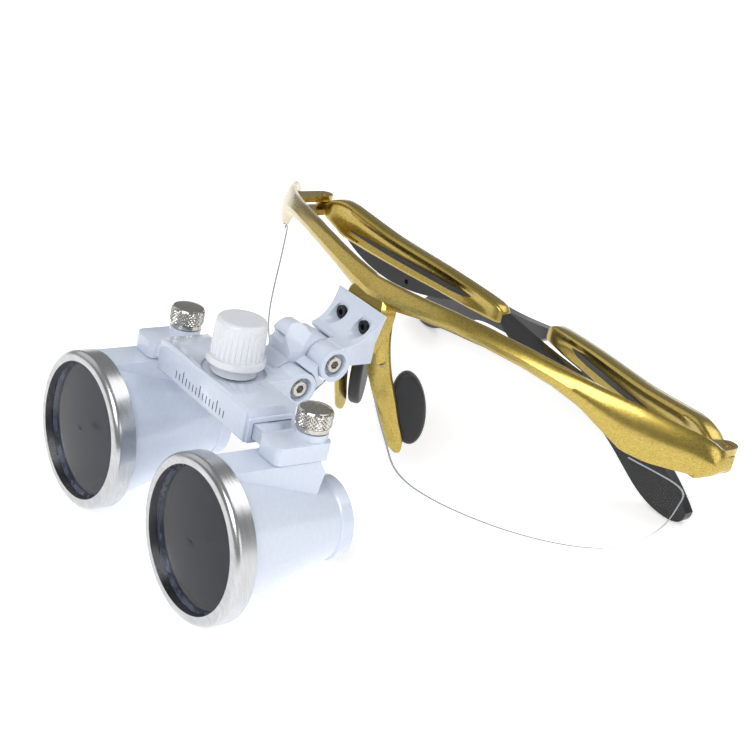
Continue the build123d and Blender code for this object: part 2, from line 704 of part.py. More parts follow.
def make_slide_arm(sign):
    """Rack tail, neck and clamp block of one side; the left tail runs in front of the pinion."""
    if sign > 0:
        tail_wall_y = cavity_front_y + sliding_gap
        pitch_line_y = knob_y - pitch_radius
        facing = 1
    else:
        tail_wall_y = cavity_back_y - sliding_gap
        pitch_line_y = knob_y + pitch_radius
        facing = -1
    tip_y = pitch_line_y + facing * addendum
    root_y = pitch_line_y - facing * dedendum
    slope = math.tan(math.radians(pressure_angle))
    half_tip = (tooth_pitch - tooth_backlash) / 4 - addendum * slope
    half_root = (tooth_pitch - tooth_backlash) / 4 + dedendum * slope
    first_tooth = -math.floor((pupil_travel + 2 * tooth_pitch) / tooth_pitch)
    with BuildPart() as arm:
        with BuildSketch(Plane.XY.offset(rack_bottom_z)):
            with Locations((sign * (arm_inner_x + 1.0 - rack_end_x) / 2, (tail_wall_y + root_y) / 2)):
                Rectangle(arm_inner_x + 1.0 + rack_end_x, abs(root_y - tail_wall_y))
            for tooth in range(first_tooth, 2):
                middle = sign * (tooth + 0.5) * tooth_pitch
                with BuildLine():
                    Polyline(
                        (middle - half_root, root_y - facing * 0.05),
                        (middle - half_tip, tip_y),
                        (middle + half_tip, tip_y),
                        (middle + half_root, root_y - facing * 0.05),
                        close=True,
                    )
                make_face()
            # neck in the end slot
            with Locations((sign * (crossbar_half + arm_inner_x + 1.0) / 2, (neck_front_y + neck_back_y) / 2)):
                RectangleRounded(arm_inner_x + 1.0 - crossbar_half, neck_back_y - neck_front_y, 0.5)
        extrude(amount=rack_height)
        block_mid_y = (arm_block_front_y + arm_block_back_y) / 2
        with BuildSketch(Plane.XY.offset(arm_block_bottom_z)):
            with Locations((sign * clamp_x, block_mid_y)):
                RectangleRounded(arm_block_width, arm_block_back_y - arm_block_front_y, arm_corner_radius)
        extrude(amount=arm_block_height)
        extrude(disc(Plane.XY.offset(arm_block_top_z), (sign * clamp_x, clamp_y), clamp_boss_radius),
                amount=clamp_boss_height)
        with Locations((sign * clamp_x, clamp_y, 0)):
            Cylinder(clamp_shank_radius + running_gap, 12, mode=Mode.SUBTRACT)
    finish(arm, side_of(sign) + "_slide_arm")


def make_clamp_screw(sign):
    """Knurled thumbscrew that clamps a telescope under its slide arm."""
    centre = (sign * clamp_x, clamp_y)
    with BuildPart() as screw:
        extrude(disc(Plane.XY.offset(clamp_head_z), centre, clamp_band_radius), amount=clamp_band_height)
        extrude(disc(Plane.XY.offset(clamp_head_z + clamp_band_height), centre, clamp_head_radius),
                amount=clamp_head_height - clamp_band_height)
        fillet(screw.faces().sort_by(Axis.Z)[-1].edges(), radius=0.6)
        with BuildSketch(Plane.XY.offset(clamp_head_z + clamp_band_height)):
            with Locations(centre):
                with PolarLocations(clamp_head_radius, clamp_knurl_count):
                    Circle(clamp_knurl_radius)
        extrude(amount=clamp_head_height - clamp_band_height - 0.8, mode=Mode.SUBTRACT)
        extrude(disc(Plane.XY.offset(clamp_head_z), centre, clamp_shank_radius),
                amount=saddle_top_z - clamp_shank_reach - clamp_head_z)
    finish(screw, side_of(sign) + "_clamp_screw")


# ---------------------------------------------------------------- telescopes
def turned(sign, points):
    """Half profile, as radius and Y, in the level plane through an optic axis."""
    level = Plane(origin=(sign * pupil_half, 0, optic_axis_z), x_dir=(sign, 0, 0), z_dir=(0, 0, sign))
    return outline(level, points)


def optic_axis(sign):
    """Axis of the telescope of one side."""
    return Axis((sign * pupil_half, 0, optic_axis_z), (0, 1, 0))


def inner_radius(depth_y):
    """Radius of the hollow of the barrel at a given Y."""
    front = barrel_front_radius - barrel_wall
    back = eyepiece_radius - eyepiece_shoulder
    share = (depth_y - seat_back_y) / (eyepiece_seat_y - seat_back_y)
    return front + share * (back - front)


def half_way_rise(radius, rise):
    """Height of a spherical cap, above its rim, half way out from the axis."""
    sphere = (radius**2 + rise**2) / (2 * rise)
    return rise - sphere + math.sqrt(sphere**2 - radius**2 / 4)


def make_telescope(sign):
    """Barrel with its saddle, objective, light baffle and eyepiece."""
    side_name = side_of(sign)
    axis = optic_axis(sign)

    with BuildPart() as ring:
        revolve(
            turned(sign, [
                (aperture_radius, aperture_y),
                (ring_radius, aperture_y),
                (ring_radius, ring_back_y),
                (spigot_radius + thread_gap, ring_back_y),
                (spigot_radius + thread_gap, seat_front_y),
                (aperture_radius, seat_front_y),
            ]),
            axis=axis,
        )
        front_edges = ring.edges().filter_by(GeomType.CIRCLE).group_by(Axis.Y)[0].sort_by(SortBy.RADIUS)
        fillet(front_edges[-1], radius=ring_edge_radius)
    finish(ring, side_name + "_objective_ring")

    with BuildPart() as barrel:
        revolve(
            turned(sign, [
                (0, seat_front_y + seat_gap),
                (spigot_radius, seat_front_y + seat_gap),
                (spigot_radius, ring_back_y + thread_gap),
                (barrel_front_radius, ring_back_y + thread_gap),
                (barrel_waist_radius, waist_y),
                (barrel_flange_radius, waist_y + 0.3),
                (barrel_flange_radius, eyepiece_y),
                (0, eyepiece_y),
            ]),
            axis=axis,
        )
        # saddle under the slide arm
        saddle_x = sign * (clamp_x - saddle_offset)
        side_profile = outline(Plane.YZ.offset(saddle_x), [
            (ring_back_y + seat_gap, saddle_top_z),
            (saddle_rear_y, saddle_top_z),
            (saddle_tail_y, saddle_tail_z),
            (saddle_tail_y - 0.7, saddle_toe_z),
            (saddle_rear_y - 1.0, optic_axis_z),
            (ring_back_y + seat_gap, optic_axis_z),
        ])
        extrude(side_profile, amount=saddle_width / 2, both=True)
        with Locations((sign * clamp_x, clamp_y, saddle_top_z)):
            Cylinder(clamp_shank_radius + running_gap, 2 * (clamp_shank_reach + 0.4), mode=Mode.SUBTRACT)
        # hollow, with the seats of both lenses
        revolve(
            turned(sign, [
                (0, seat_front_y),
                (lens_seat_radius, seat_front_y),
                (lens_seat_radius, seat_back_y),
                (inner_radius(seat_back_y), seat_back_y),
                (inner_radius(eyepiece_seat_y), eyepiece_seat_y),
                (eyepiece_radius + seat_gap, eyepiece_seat_y),
                (eyepiece_radius + seat_gap, eyepiece_y + 1),
                (0, eyepiece_y + 1),
            ]),
            axis=axis,
            mode=Mode.SUBTRACT,
        )
    finish(barrel, side_name + "_barrel")

    with BuildPart() as objective:
        lens_radius = lens_seat_radius - seat_gap / 2
        front_edge_y = seat_front_y + seat_gap
        level = Plane(origin=(sign * pupil_half, 0, optic_axis_z), x_dir=(sign, 0, 0), z_dir=(0, 0, sign))
        with BuildSketch(level):
            with BuildLine():
                ThreePointArc(
                    (0, front_edge_y - objective_bulge),
                    (lens_radius / 2, front_edge_y - half_way_rise(lens_radius, objective_bulge)),
                    (lens_radius, front_edge_y),
                )
                Polyline(
                    (lens_radius, front_edge_y),
                    (lens_radius, front_edge_y + objective_edge),
                    (0, front_edge_y + objective_edge),
                    (0, front_edge_y - objective_bulge),
                )
            make_face()
        revolve(axis=axis)
    finish(objective, side_name + "_objective_lens")

    with BuildPart() as baffle:
        baffle_front_y = seat_back_y + 0.5
        groove_length = baffle_length / baffle_grooves
        profile = [
            (inner_radius(baffle_front_y) - seat_gap, baffle_front_y),
            (inner_radius(baffle_front_y + baffle_length) - seat_gap, baffle_front_y + baffle_length),
        ]
        for groove in reversed(range(baffle_grooves)):
            groove_y = baffle_front_y + groove * groove_length
            outer = inner_radius(groove_y + groove_length) - seat_gap - baffle_wall
            profile.append((outer - baffle_groove_depth, groove_y + groove_length))
            profile.append((outer, groove_y))
        revolve(turned(sign, profile), axis=axis)
    finish(baffle, side_name + "_light_baffle")

    with BuildPart() as eyepiece:
        lens_front_y = eyepiece_seat_y + seat_gap
        level = Plane(origin=(sign * pupil_half, 0, optic_axis_z), x_dir=(sign, 0, 0), z_dir=(0, 0, sign))
        with BuildSketch(level):
            with BuildLine():
                Polyline(
                    (0, lens_front_y + eyepiece_hollow),
                    (0, lens_front_y + eyepiece_edge),
                    (eyepiece_radius, lens_front_y + eyepiece_edge),
                    (eyepiece_radius, lens_front_y),
                )
                ThreePointArc(
                    (eyepiece_radius, lens_front_y),
                    (eyepiece_radius / 2, lens_front_y + half_way_rise(eyepiece_radius, eyepiece_hollow)),
                    (0, lens_front_y + eyepiece_hollow),
                )
            make_face()
        revolve(axis=axis)
    finish(eyepiece, side_name + "_eyepiece_lens")

    with BuildPart() as retainer:
        retainer_y = eyepiece_y - eyepiece_ring_length
        revolve(
            turned(sign, [
                (eyepiece_bore, retainer_y),
                (eyepiece_radius + seat_gap - thread_gap, retainer_y),
                (eyepiece_radius + seat_gap - thread_gap, eyepiece_y - seat_gap),
                (eyepiece_bore + 0.5, eyepiece_y - seat_gap),
            ]),
            axis=axis,
        )
    finish(retainer, side_name + "_eyepiece_ring")


for side in (1, -1):
    make_slide_arm(side)
    make_clamp_screw(side)
    make_telescope(side)


# ---------------------------------------------------------------- temples
def temple_plane(sign):
    """Upright mid plane of a folded temple: local X runs along the temple from its hinge."""
    fold = math.radians(left_fold if sign > 0 else right_fold)
    along = (-sign * math.cos(fold), math.sin(fold), 0)
    across = (math.sin(fold), sign * math.cos(fold), 0)
    return Plane(origin=(sign * hinge_x, hinge_y, 0), x_dir=along, z_dir=across)


def make_temple(sign):
    """Gold shell, black core and hinge screw of one temple, folded inwards."""
    side_name = side_of(sign)
    middle = temple_plane(sign)
    knuckle_low = hinge_mid_z + seat_gap
    knuckle_high = hinge_high_z - seat_gap

    with BuildPart() as shell:
        with BuildSketch(middle):
            with BuildLine():
                Spline((shell_start, 14.0), (7, 15.5), (12.5, 15.3), (27, 13.5), (44, 12.6), (60, 11.3))
                Polyline((60, 11.3), (62.4, 10.5), (shell_end, 6.7), (46, 6.7), (29, 6.6), (9.5, 7.0))
                Polyline((9.5, 7.0), (7.3, 8.2), (shell_start, 9.2), (shell_start, 14.0))
            make_face()
        extrude(amount=shell_half, both=True)
        fillet(shell.edges().filter_by(GeomType.BSPLINE), radius=0.8)
        # hinge knuckle
        with BuildSketch(Plane.XY.offset(knuckle_low)):
            with Locations((sign * hinge_x, hinge_y)):
                Circle(hinge_knuckle_radius)
        extrude(amount=knuckle_high - knuckle_low)
        with BuildSketch(middle):
            with Locations((shell_start / 2 + 0.5, (knuckle_low + knuckle_high) / 2)):
                Rectangle(shell_start + 1.0, knuckle_high - knuckle_low)
        extrude(amount=hinge_knuckle_radius - 0.3, both=True)
        with Locations((sign * hinge_x, hinge_y, (knuckle_low + knuckle_high) / 2)):
            Cylinder(hinge_pin_radius + running_gap, 4, mode=Mode.SUBTRACT)
        # slot for the core
        with BuildSketch(middle):
            with Locations(((slot_start + shell_end + 1) / 2, slot_top_z - 3)):
                Rectangle(shell_end + 1 - slot_start, 6)
        extrude(amount=core_half + seat_gap, both=True, mode=Mode.SUBTRACT)
        # leaf-shaped hollow on the inner face
        with BuildSketch(middle.offset(-sign * shell_half)):
            with BuildLine():
                Spline((7.5, 13.2), (12.5, 13.9), (27, 12.2), (44, 11.2), (57, 9.4))
                Spline((57, 9.4), (38, 8.3), (20, 8.6), (7.5, 13.2))
            make_face()
        extrude(amount=sign * recess_depth_leaf, mode=Mode.SUBTRACT)
    finish(shell, side_name + "_temple_shell")

    with BuildPart() as core:
        with BuildSketch(middle):
            with BuildLine():
                Line((slot_start + seat_gap, 9.6), (62, 9.5))
                Spline((62, 9.5), (74, 7.0), (80, 6.0), (86, 5.2), (92, 4.2), (99, 2.2), (108, -0.9),
                       (116.9, -6.6), (120.4, -10.0))
                Spline((120.4, -10.0), (119.6, -12.2), (heel_reach, heel_z), (107.8, -10.9), (100.9, -6.4),
                       (92, -1.6), (79.2, 1.0), (63, 7.0))
                Line((63, 7.0), (49, 7.0))
                Spline((49, 7.0), (41, 4.5), (30, 3.0), (20, 4.0), (slot_start + seat_gap, 7.4))
                Line((slot_start + seat_gap, 7.4), (slot_start + seat_gap, 9.6))
            make_face()
            with Locations((33, 4.9)):
                Circle(0.6, mode=Mode.SUBTRACT)
        extrude(amount=core_half, both=True)
    finish(core, side_name + "_temple_core")

    with BuildPart() as pin:
        centre = (sign * hinge_x, hinge_y)
        extrude(disc(Plane.XY.offset(hinge_low_z), centre, hinge_pin_radius), amount=hinge_top_z - hinge_low_z)
        extrude(disc(Plane.XY.offset(hinge_top_z), centre, hinge_pin_head), amount=-hinge_pin_head_height + 0.1)
        with Locations((sign * hinge_x, hinge_y, hinge_top_z)):
            Box(4, 0.4, 0.6, mode=Mode.SUBTRACT)
    finish(pin, side_name + "_hinge_screw")


for side in (1, -1):
    make_temple(side)


# ---------------------------------------------------------------- resting place
def temple_heel(sign):
    """Lowest outer point of a folded temple tip."""
    return temple_plane(sign).from_local_coords(Vector(heel_reach, heel_z, sign * core_half))


def resting_turn():
    """Turn, as pitch and roll in degrees, that lays both temple tips and the left ring on a table."""
    left_heel = temple_heel(1)
    right_heel = temple_heel(-1)
    ring_point = Vector(pupil_half, ring_back_y, optic_axis_z - ring_radius)
    upward = (right_heel - ring_point).cross(left_heel - ring_point).normalized()
    pitch = math.degrees(math.atan2(upward.Y, upward.Z))
    roll = -math.degrees(math.atan2(upward.X, math.hypot(upward.Y, upward.Z)))
    return pitch, roll


pitch_degrees, roll_degrees = resting_turn()
laid = Location((0, 0, 0), (0, roll_degrees, 0)) * Location((0, 0, 0), (pitch_degrees, 0, 0))
overall = Compound([piece.moved(laid) for name, piece in finished]).bounding_box()
base_centre = Vector((overall.min.X + overall.max.X) / 2, (overall.min.Y + overall.max.Y) / 2, overall.min.Z)
rest = Location(-base_centre) * laid

os.makedirs("parts", exist_ok=True)
for name, piece in finished:
    placed = piece.moved(rest)
    placed.label = name
    export_step(placed, "parts/" + name + ".step")
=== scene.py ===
"""Dental loupes, dressed: a gold wrap frame with flip-up telescopes on a white crossbar."""

import json
import logging
import math
from dataclasses import dataclass
from enum import Enum
from typing import Callable, Optional, Sequence

import bpy
from mathutils import Euler, Matrix, Vector


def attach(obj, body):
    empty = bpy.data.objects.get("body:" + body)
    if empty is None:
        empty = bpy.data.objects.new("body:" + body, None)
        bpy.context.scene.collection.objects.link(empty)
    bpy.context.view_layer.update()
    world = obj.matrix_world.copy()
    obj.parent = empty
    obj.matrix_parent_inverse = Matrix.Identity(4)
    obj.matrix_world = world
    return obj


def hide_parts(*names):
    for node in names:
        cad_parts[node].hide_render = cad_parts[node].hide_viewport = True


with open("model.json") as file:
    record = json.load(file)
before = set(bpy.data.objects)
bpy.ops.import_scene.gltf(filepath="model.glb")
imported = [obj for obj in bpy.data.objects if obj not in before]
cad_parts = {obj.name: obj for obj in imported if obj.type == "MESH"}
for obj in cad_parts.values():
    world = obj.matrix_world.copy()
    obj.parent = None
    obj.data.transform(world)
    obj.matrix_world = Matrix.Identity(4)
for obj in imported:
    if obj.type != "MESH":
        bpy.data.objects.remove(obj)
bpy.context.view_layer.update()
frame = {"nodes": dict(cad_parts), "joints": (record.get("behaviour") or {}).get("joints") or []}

log = logging.getLogger("loupes")

Point = tuple[float, float, float]
Colour = tuple[float, float, float, float]
MM = 0.001


class Side(Enum):
    """The wearer's side, with the sign of X in the worn frame."""

    LEFT = 1
    RIGHT = -1

    @property
    def word(self) -> str:
        """Name used in node and body names."""
        return self.name.lower()


class Pattern(Enum):
    """What breaks up the surface of a finish."""

    SPECKLE = "speckle"
    TURNED = "turned"
    GRAIN = "grain"


def linear(hex_colour: str) -> Colour:
    """Turns an sRGB hex colour into linear RGBA.

    Args:
        hex_colour: Six hex digits, such as "C8B273".

    Returns:
        The linear colour with alpha 1.
    """
    values = [int(hex_colour[i : i + 2], 16) / 255 for i in (0, 2, 4)]
    red, green, blue = [v / 12.92 if v <= 0.04045 else ((v + 0.055) / 1.055) ** 2.4 for v in values]
    return (red, green, blue, 1.0)


def add_node(tree: bpy.types.NodeTree, kind: str, settings: dict, links: dict) -> bpy.types.Node:
    """Adds one shader node with its settings and links.

    Args:
        tree: The node tree that gets the node.
        kind: Blender's type name of the node.
        settings: Attribute names and values of the node.
        links: Input names or numbers, each with a socket to link or a constant to set.

    Returns:
        The new node.
    """
    made = tree.nodes.new(kind)
    for key, value in settings.items():
        setattr(made, key, value)
    for key, value in links.items():
        if isinstance(value, bpy.types.NodeSocket):
            tree.links.new(value, made.inputs[key])
        else:
            made.inputs[key].default_value = value
    return made


def per_metre(size_mm: float) -> float:
    """Texture scale that makes one feature the given size in millimetres."""
    return 1000.0 / size_mm


@dataclass(frozen=True)
class Finish:
    """An opaque finish: a real material and how its surface was made."""

    name: str
    light: str
    dark: str
    metallic: float
    roughness: float
    grain_mm: float
    bump_mm: float
    pattern: Pattern = Pattern.GRAIN
    coat: float = 0.0
    coat_roughness: float = 0.05
    wander: float = 0.06
    anisotropic: float = 0.0
    sheen: float = 0.0
    glow: float = 0.0

    def make(self) -> bpy.types.Material:
        """Builds the material.

        Returns:
            The node-based material.
        """
        material = bpy.data.materials.new(self.name)
        material.use_nodes = True
        tree = material.node_tree
        tree.nodes.clear()
        place = add_node(tree, "ShaderNodeTexCoord", {}, {})
        fine = self._texture(tree, place.outputs["Object"])
        broad = add_node(
            tree,
            "ShaderNodeTexNoise",
            {},
            {"Vector": place.outputs["Object"], "Scale": per_metre(18.0), "Detail": 3.0},
        )
        tone = add_node(
            tree,
            "ShaderNodeMix",
            {"data_type": "RGBA"},
            {0: fine, 6: linear(self.dark), 7: linear(self.light)},
        )
        rough = add_node(
            tree,
            "ShaderNodeMapRange",
            {},
            {
                "Value": broad.outputs["Fac"],
                "From Min": 0.3,
                "From Max": 0.7,
                "To Min": max(0.02, self.roughness - self.wander),
                "To Max": self.roughness + self.wander,
            },
        )
        bump = add_node(
            tree,
            "ShaderNodeBump",
            {},
            {"Height": fine, "Strength": 0.6, "Distance": self.bump_mm * MM},
        )
        shader = add_node(
            tree,
            "ShaderNodeBsdfPrincipled",
            {},
            {
                "Base Color": tone.outputs[2],
                "Metallic": self.metallic,
                "Roughness": rough.outputs["Result"],
                "Normal": bump.outputs["Normal"],
                "Coat Weight": self.coat,
                "Coat Roughness": self.coat_roughness,
                "Anisotropic": self.anisotropic,
                "Sheen Weight": self.sheen,
                "Emission Color": (1.0, 1.0, 1.0, 1.0),
                "Emission Strength": self.glow,
            },
        )
        add_node(tree, "ShaderNodeOutputMaterial", {}, {"Surface": shader.outputs["BSDF"]})
        return material

    def _texture(self, tree: bpy.types.NodeTree, place: bpy.types.NodeSocket) -> bpy.types.NodeSocket:
        """Adds the fine pattern of the surface.

        Args:
            tree: The material's node tree.
            place: Object coordinates.

        Returns:
            A socket between 0 and 1.
        """
        scale = per_metre(self.grain_mm)
        if self.pattern is Pattern.SPECKLE:
            cells = add_node(tree, "ShaderNodeTexVoronoi", {}, {"Vector": place, "Scale": scale})
            return cells.outputs["Color"]
        if self.pattern is Pattern.TURNED:
            stretch = add_node(
                tree, "ShaderNodeMapping", {}, {"Vector": place, "Scale": (0.06, 1.0, 0.06)}
            )
            lines = add_node(
                tree,
                "ShaderNodeTexNoise",
                {},
                {"Vector": stretch.outputs["Vector"], "Scale": scale, "Detail": 4.0},
            )
            return lines.outputs["Fac"]
        cloud = add_node(
            tree, "ShaderNodeTexNoise", {}, {"Vector": place, "Scale": scale, "Detail": 5.0}
        )
        return cloud.outputs["Fac"]


@dataclass(frozen=True)
class ClearFinish:
    """A see-through finish with faint unevenness in its gloss."""

    name: str
    tint: str
    roughness: float
    ior: float
    clear: float = 1.0
    alpha: float = 1.0
    smear_mm: float = 9.0

    def make(self) -> bpy.types.Material:
        """Builds the material.

        Returns:
            The node-based material.
        """
        material = bpy.data.materials.new(self.name)
        material.use_nodes = True
        tree = material.node_tree
        tree.nodes.clear()
        place = add_node(tree, "ShaderNodeTexCoord", {}, {})
        smear = add_node(
            tree,
            "ShaderNodeTexNoise",
            {},
            {"Vector": place.outputs["Object"], "Scale": per_metre(self.smear_mm), "Detail": 4.0},
        )
        rough = add_node(
            tree,
            "ShaderNodeMapRange",
            {},
            {"Value": smear.outputs["Fac"], "To Min": self.roughness, "To Max": self.roughness * 2.5},
        )
        shader = add_node(
            tree,
            "ShaderNodeBsdfPrincipled",
            {},
            {
                "Base Color": linear(self.tint),
                "Roughness": rough.outputs["Result"],
                "IOR": self.ior,
                "Transmission Weight": self.clear,
                "Alpha": self.alpha,
            },
        )
        add_node(tree, "ShaderNodeOutputMaterial", {}, {"Surface": shader.outputs["BSDF"]})
        return material


# Champagne-gold metallic lacquer, sprayed on alloy: fine flakes under a soft clear coat.
GOLD_LACQUER = Finish(
    "champagne_gold_sprayed_lacquer", "CDB45C", "A08B40", 1.0, 0.27, 0.16, 0.005,
    Pattern.SPECKLE, coat=0.5, coat_roughness=0.1,
)
# White acrylic lacquer, sprayed and baked on aluminium: wet-looking, faintly blue.
WHITE_LACQUER = Finish(
    "white_baked_lacquer", "D6DEEB", "C8D2E4", 0.0, 0.2, 0.9, 0.004, coat=0.6, coat_roughness=0.05
)
# White ABS, injection moulded: glossy with the faint waviness of a polished mould.
WHITE_ABS = Finish(
    "white_abs_moulded", "E6E8EC", "D3D7DE", 0.0, 0.28, 0.6, 0.01, coat=0.3, coat_roughness=0.1
)
# Aluminium, fine turned and satin anodised: hair lines that run round the ring.
SATIN_ALUMINIUM = Finish(
    "satin_anodised_turned_aluminium", "D4D5D6", "A9ABAD", 1.0, 0.27, 0.22, 0.006,
    Pattern.TURNED, anisotropic=0.3,
)
# Nickel plate over brass, polished after knurling: bright facets, dark hollows.
POLISHED_NICKEL = Finish(
    "polished_nickel_plate", "DAD8D2", "A7A49C", 1.0, 0.14, 0.5, 0.003, wander=0.04
)
# Stainless steel, chemically blackened: dark oily sheen on screws and shafts.
BLACK_STEEL = Finish("blackened_stainless_steel", "4A4A4E", "26262A", 1.0, 0.32, 0.3, 0.003)
# Aluminium, bead blasted and black anodised: dull blue-black inside the telescopes.
BLACK_ANODISED = Finish("black_anodised_blasted_aluminium", "1A2030", "0B0E17", 0.6, 0.5, 0.12, 0.01)
# Flock-black paint brushed in the bores: swallows light.
BORE_BLACK = Finish("matt_black_bore_paint", "0C0D10", "050507", 0.0, 0.8, 0.2, 0.01)
# Nylon, injection moulded: satin black temples with a fine spark-eroded grain.
BLACK_NYLON = Finish(
    "black_nylon_moulded", "121214", "08080A", 0.0, 0.36, 0.28, 0.012, coat=0.12, coat_roughness=0.3
)
# Silicone rubber, compression moulded: soft black with a dusty bloom.
BLACK_SILICONE = Finish(
    "black_silicone_moulded", "1D1D1F", "101012", 0.0, 0.55, 0.5, 0.012, sheen=0.25
)
# Vinyl ink, pad printed: flat black graduation marks.
BLACK_INK = Finish("black_pad_printing_ink", "202022", "121214", 0.0, 0.6, 0.2, 0.002)
# Polycarbonate, injection moulded and hard coated: clear with a cool edge.
CLEAR_POLYCARBONATE = ClearFinish("clear_hard_coated_polycarbonate", "202428", 0.01, 1.45, clear=0.0, alpha=0.03)
# Crown glass, ground, polished and coated: deep violet-green reflections.
COATED_GLASS = ClearFinish("coated_crown_glass", "8A90A4", 0.008, 1.32)
# Polycarbonate, cut and ground: the dull grey rim of a spectacle lens.
GROUND_EDGE = Finish("ground_polycarbonate_edge", "A9ADB3", "85898F", 0.0, 0.5, 0.3, 0.004)
# Melamine board, matt: the pale sweep that the loupes stand on.
STUDIO_FLOOR = Finish("pale_matt_melamine", "F7F7F7", "F0F0F0", 0.0, 0.6, 3.0, 0.01, glow=0.5)


class Paints:
    """Makes each finish once and hands it out."""

    def __init__(self) -> None:
        """Starts with no materials."""
        self._made: dict[str, bpy.types.Material] = {}

    def of(self, finish: "Finish | ClearFinish") -> bpy.types.Material:
        """Gives the material of a finish.

        Args:
            finish: The finish wanted.

        Returns:
            The material, made on first use.
        """
        if finish.name not in self._made:
            self._made[finish.name] = finish.make()
        return self._made[finish.name]


class WornFrame:
    """The wearer's level frame, in millimetres, as it stands in the row frame."""

    def __init__(self, joints: Sequence[dict]) -> None:
        """Reads the frame from the joints.

        Args:
            joints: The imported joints.
        """
        named = {joint["name"]: joint for joint in joints}
        tilt = named["upper_pivot_tilt"]
        across = -Vector(tilt["axis"]).normalized()
        upward = Vector(named["pd_knob_turn"]["axis"]).normalized()
        back = upward.cross(across).normalized()
        turn = Matrix((across, back, upward)).transposed()
        anchor = Vector(tilt["pos_m"]) - turn @ (Vector((0.0, -16.2, 6.6)) * MM)
        self.matrix = Matrix.Translation(anchor) @ turn.to_4x4() @ Matrix.Scale(MM, 4)

    def at(self, point: Point) -> Vector:
        """Row-frame place, in metres, of a point in the worn frame, in millimetres."""
        return self.matrix @ Vector(point)


class Workshop:
    """Turns outlines in the worn frame into named pieces that ride on the bodies."""

    def __init__(self, worn: WornFrame, paints: Paints) -> None:
        """Keeps the frame and the paints.

        Args:
            worn: The wearer's frame.
            paints: The finishes.
        """
        self.worn = worn
        self.paints = paints

    def piece(
        self,
        name: str,
        body: str,
        points: Sequence[Point],
        faces: Sequence[Sequence[int]],
        finish: "Finish | ClearFinish",
        instead_of: Sequence[str] = (),
        crease_degrees: float = 40.0,
        bevel_mm: float = 0.0,
    ) -> bpy.types.Object:
        """Makes one piece.

        Args:
            name: Name of the piece.
            body: Body it rides on.
            points: Vertices in the worn frame, in millimetres.
            faces: Vertex numbers of each face.
            finish: Its finish.
            instead_of: CAD nodes that it replaces.
            crease_degrees: Edges sharper than this stay sharp.
            bevel_mm: Width of the rounded edges, or 0.

        Returns:
            The new object.
        """
        mesh = bpy.data.meshes.new(name)
        mesh.from_pydata([self.worn.at(p) for p in points], [], [tuple(f) for f in faces])
        mesh.validate()
        mesh.update()
        mesh.materials.append(self.paints.of(finish))
        mesh.shade_smooth()
        made = bpy.data.objects.new(name, mesh)
        bpy.context.scene.collection.objects.link(made)
        if bevel_mm > 0:
            bevel = made.modifiers.new("rounded_edges", "BEVEL")
            bevel.width = bevel_mm * MM
            bevel.segments = 3
            bevel.limit_method = "ANGLE"
            bevel.angle_limit = math.radians(crease_degrees)
            bevel.harden_normals = True
        mesh.set_sharp_from_angle(angle=math.radians(crease_degrees))
        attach(made, body)
        if instead_of:
            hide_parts(*instead_of)
        log.info("%s on %s", name, body)
        return made

    def dress(self, node: str, finish: "Finish | ClearFinish", bevel_mm: float = 0.0) -> None:
        """Gives a CAD node its finish and softens its edges.

        Args:
            node: Name of the node.
            finish: Its finish.
            bevel_mm: Width of the rounded edges, or 0.
        """
        cad = frame["nodes"][node]
        cad.data.materials.clear()
        cad.data.materials.append(self.paints.of(finish))
        if bevel_mm > 0:
            weld = cad.modifiers.new("joined_faces", "WELD")
            weld.merge_threshold = 0.00001
            bevel = cad.modifiers.new("rounded_edges", "BEVEL")
            bevel.width = bevel_mm * MM
            bevel.segments = 2
            bevel.limit_method = "ANGLE"
            bevel.angle_limit = math.radians(35)
            bevel.harden_normals = True
            cad.data.shade_smooth()
        log.info("%s dressed in %s", node, finish.name)


def lathe(
    profile: Sequence[tuple[float, float]],
    segments: int,
    along: Callable[[float, float, float], Point],
) -> tuple[list[Point], list[tuple[int, ...]]]:
    """Turns a profile about an axis.

    Args:
        profile: Radius and height of each point, in millimetres.
        segments: Number of steps round the axis.
        along: Gives the place of (radius, angle, height).

    Returns:
        The points and the faces.
    """
    points = [along(r, 2 * math.pi * k / segments, h) for r, h in profile for k in range(segments)]
    faces = []
    for row in range(len(profile) - 1):
        for k in range(segments):
            following = (k + 1) % segments
            faces.append(
                (
                    row * segments + k,
                    row * segments + following,
                    (row + 1) * segments + following,
                    (row + 1) * segments + k,
                )
            )
    return points, faces


def along_curve(knots: Sequence[Sequence[float]], steps: int) -> list[list[float]]:
    """Samples a smooth curve through knots.

    Args:
        knots: Values of each knot, of any equal length.
        steps: Samples between two knots.

    Returns:
        The sampled values, the last knot included.
    """
    samples = []
    last = len(knots) - 1
    for number in range(last):
        before = knots[max(number - 1, 0)]
        here = knots[number]
        there = knots[number + 1]
        after = knots[min(number + 2, last)]
        for step in range(steps):
            t = step / steps
            samples.append(
                [
                    0.5 * (2 * b + (c - a) * t + (2 * a - 5 * b + 4 * c - d) * t**2
                           + (3 * b - a - 3 * c + d) * t**3)
                    for a, b, c, d in zip(before, here, there, after)
                ]
            )
    return samples + [list(knots[last])]


def between(knots: Sequence[tuple[float, float]], place: float) -> float:
    """Height of a broken line at a place along it."""
    for (x0, z0), (x1, z1) in zip(knots, knots[1:]):
        if place <= x1:
            return z0 + (z1 - z0) * max(0.0, (place - x0) / (x1 - x0))
    return knots[-1][1]


